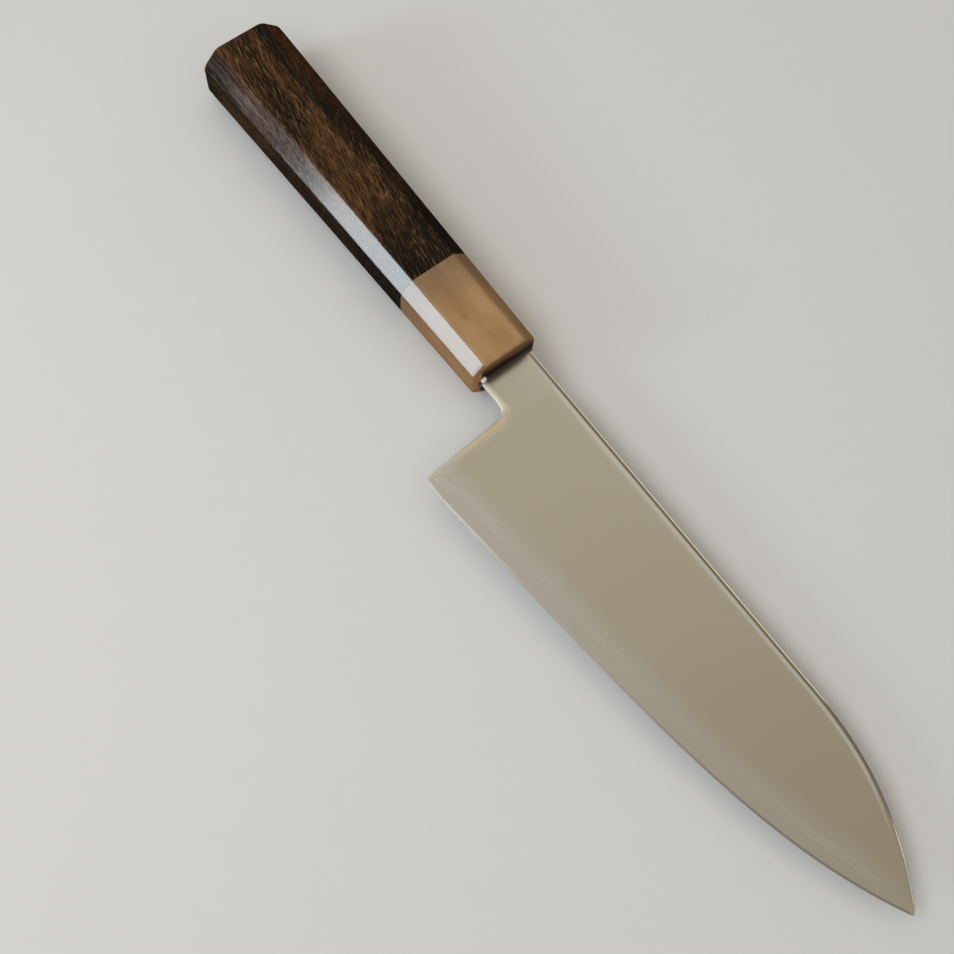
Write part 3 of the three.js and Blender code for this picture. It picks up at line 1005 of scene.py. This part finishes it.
blade = blade_and_tang()
cladding = steel("polished_cladding", CLADDING_TONE)
core = steel("polished_core", CORE_TONE)
laminate = steel("polished_laminate", LAMINATE_TONE)
LAYERS = [
    ("core", "blade_core", -CORE_HALF, CORE_HALF, core, "core_steel"),
    ("right_laminate", "laminate_right", CORE_HALF, LAMINATE_HALF, laminate, "laminate_steel"),
    ("left_laminate", "laminate_left", -LAMINATE_HALF, -CORE_HALF, laminate, "laminate_steel"),
    ("right_cladding", "cladding_right", LAMINATE_HALF, SPINE_THICKNESS, cladding, "cladding_steel"),
    ("left_cladding", "cladding_left", -SPINE_THICKNESS, -LAMINATE_HALF, cladding, "cladding_steel"),
]
for name, node, low, high, material, slot in LAYERS:
    layer = add_piece(name, blade_layer(blade, low, high), material)
    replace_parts(layer, node)
blade.free()

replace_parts(add_piece("wooden_handle", handle_body(), dark_wood()), "handle_body")
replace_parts(add_piece("horn_ferrule", ferrule(), horn()), "ferrule")
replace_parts(add_piece("neck_seal", mouth_seal(), sealant()), "mouth_seal")

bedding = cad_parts["tang_bedding"]
bedding.data.materials.clear()
bedding.data.materials.append(resin())

# Floor, light and camera. The floor and the lamps are set in the frame, in metres.

FLOOR_SIZE = 6.0
FLOOR_DARK = rgb(0.735, 0.75, 0.765)
FLOOR_PALE = rgb(0.755, 0.77, 0.785)
CAMERA_AT = (120.6, -123.3, 357.9)      # knife axes
CAMERA_AIM = (21.7, -26.6, 0.0)
CAMERA_ROLL = math.radians(7.18)
CAMERA_LENS = 52.83

# Light of the surroundings. A pair is the stretch of a unit direction over which it changes.
SKY_BEHIND_BUTT = rgb(0.63, 0.59, 0.52)
SKY_OVERHEAD = rgb(0.455, 0.405, 0.33)
LOW_LIGHT = rgb(0.44, 0.43, 0.41)
LOW_LIGHT_AT_SPINE = rgb(0.22, 0.195, 0.16)
SKY_CHANGE_X = (-0.3, 0.22)
LOW_CHANGE_Y = (0.4, 0.7)
SKY_FOOT_Z = (0.62, 0.9)


class Lamp(NamedTuple):
    """A flat soft lamp. Less spread keeps its light off the floor."""

    name: str
    at: tuple
    size: tuple
    watts: float
    colour: tuple
    aim: tuple = (0.0, 0.0, 0.0)
    spread: float = math.radians(180)


LAMPS = [
    Lamp("key", (-0.1, -0.6, 0.8), (1.2, 0.45), 3.4, (0.96, 0.98, 1.0)),
    Lamp("spine_glow", (-0.03, 0.52, 0.9), (0.66, 0.3), 0.17, (0.68, 0.76, 1.0)),
    Lamp(
        "spine_light", (-0.25, 0.93, 0.2), (0.8, 0.38), 0.19, (1.0, 0.9, 0.77),
        aim=(-0.2, 0.0, 0.0), spread=math.radians(80),
    ),
    Lamp("nose_light", (0.62, 0.58, 0.58), (0.5, 0.16), 0.34, (1.0, 0.91, 0.77), aim=(0.1, 0.0, 0.0)),
    Lamp("heel_light", (-0.82, 0.15, 0.57), (0.9, 1.06), 0.72, (1.0, 0.65, 0.25)),
    Lamp("edge_light", (-0.08, -0.12, 1.0), (0.62, 0.16), 0.16, (1.0, 1.0, 1.0)),
    Lamp(
        "bevel_light", (-0.322, -0.75, 0.264), (0.29, 0.15), 0.205, (0.84, 0.94, 1.0),
        aim=(-0.057, 0.0, 0.01), spread=math.radians(56),
    ),
]


def pale_floor():
    finish = Finish("pale_floor", {"Specular IOR Level": 0.2})
    grain = finish.noise((0.2, 0.2, 0.2), detail=3.0)
    finish.feed(finish.surface, {
        "Base Color": finish.mix(grain, FLOOR_DARK, FLOOR_PALE),
        "Roughness": grain * 0.1 + 0.65,
    })
    bm = bmesh.new()
    bmesh.ops.create_grid(bm, x_segments=2, y_segments=2, size=FLOOR_SIZE / 2)
    mesh = bpy.data.meshes.new("floor")
    bm.to_mesh(mesh)
    bm.free()
    mesh.materials.append(finish.material)
    floor = bpy.data.objects.new("floor", mesh)
    bpy.context.scene.collection.objects.link(floor)


def soft_world():
    """Soft light from above, paler behind the butt, and dimmer low on the spine's side."""
    world = bpy.data.worlds.new("studio")
    bpy.context.scene.world = world
    world.use_nodes = True
    nodes = Nodes(world.node_tree)
    x, y, z = nodes.split(nodes.node("ShaderNodeTexCoord", output="Generated"))
    overhead = nodes.mix(nodes.step(x, *SKY_CHANGE_X), SKY_BEHIND_BUTT, SKY_OVERHEAD)
    low = nodes.mix(nodes.step(y, *LOW_CHANGE_Y), LOW_LIGHT, LOW_LIGHT_AT_SPINE)
    sky = nodes.mix(nodes.step(z, *SKY_FOOT_Z), low, overhead)
    nodes.feed(world.node_tree.nodes["Background"], {"Color": sky})


def hang(lamp):
    """Adds a lamp and turns it to its aim."""
    light = bpy.data.lights.new(lamp.name, "AREA")
    light.shape = "RECTANGLE"
    light.size, light.size_y = lamp.size
    light.spread = lamp.spread
    light.energy = lamp.watts
    light.color = lamp.colour
    holder = bpy.data.objects.new(lamp.name, light)
    bpy.context.scene.collection.objects.link(holder)
    holder.location = lamp.at
    holder.rotation_mode = "QUATERNION"
    holder.rotation_quaternion = (Vector(lamp.aim) - Vector(lamp.at)).to_track_quat("-Z", "Y")


def photo_camera():
    camera = bpy.data.cameras.new("camera")
    camera.lens = CAMERA_LENS
    holder = bpy.data.objects.new("camera", camera)
    bpy.context.scene.collection.objects.link(holder)
    at = Vector(CAMERA_AT)
    looking = (Vector(CAMERA_AIM) - at).to_track_quat("-Z", "Y").to_matrix().to_4x4()
    turned = looking @ Matrix.Rotation(CAMERA_ROLL, 4, "Z")
    holder.matrix_world = SEAT @ Matrix.Translation(at * MM) @ turned
    bpy.context.scene.camera = holder


pale_floor()
soft_world()
for lamp in LAMPS:
    hang(lamp)
photo_camera()
bpy.context.scene.view_settings.view_transform = "Standard"
